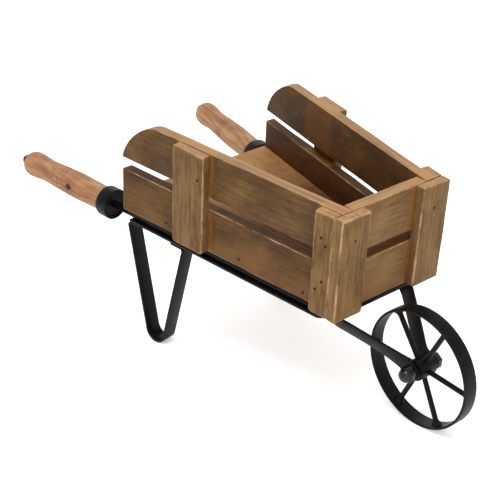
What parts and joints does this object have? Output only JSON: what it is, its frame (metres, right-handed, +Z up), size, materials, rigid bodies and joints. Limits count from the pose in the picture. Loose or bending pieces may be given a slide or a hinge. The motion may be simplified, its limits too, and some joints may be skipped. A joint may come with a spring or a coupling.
{
  "type": "wheelbarrow",
  "caption": "Small wooden wheelbarrow planter: tapered slatted crate on a black iron frame with strap legs, turned handles and a spoked iron wheel.",
  "frame": {"origin": "centre of the object's box at the level it stands on, between the wheel and the two legs", "axes": "+X forward from the handles to the wheel, +Y to the left side, +Z up"},
  "size_m": [0.644, 0.3082, 0.2943],
  "materials": {
    "crate_wood": "satin",
    "floor_wood": "satin",
    "grip_wood": "satin",
    "black_iron": "satin",
    "nail_iron": "matte"
  },
  "bodies": {
    "frame": {"floor_board": "floor_wood", "lower_board_left": "crate_wood", "lower_board_right": "crate_wood", "upper_board_left": "crate_wood", "upper_board_right": "crate_wood", "front_lower_board": "crate_wood", "front_upper_board": "crate_wood", "mid_batten_left": "crate_wood", "mid_batten_right": "crate_wood", "side_batten_left": "crate_wood", "side_batten_right": "crate_wood", "front_batten_left": "crate_wood", "front_batten_right": "crate_wood", "batten_nails": "nail_iron", "floor_nails": "nail_iron", "rod_left": "black_iron", "rod_right": "black_iron", "strap_left": "black_iron", "strap_right": "black_iron", "front_cross_bar": "black_iron", "rear_cross_bar": "black_iron", "leg_left": "black_iron", "leg_right": "black_iron", "ferrule_left": "black_iron", "ferrule_right": "black_iron", "handle_left": "grip_wood", "handle_right": "grip_wood", "handle_nuts": "black_iron", "axle_bolt": "black_iron", "axle_washers": "black_iron", "axle_nut": "black_iron"},
    "wheel": {"wheel_rim": "black_iron", "wheel_spokes": "black_iron", "spoke_welds": "black_iron", "wheel_hub": "black_iron"}
  },
  "joints": [
    {"name": "wheel_spin", "type": "hinge", "parent": "frame", "child": "wheel", "pos_m": [0.25199, 0, 0.07], "axis": [0, 1, 0], "continuous": true}
  ]
}
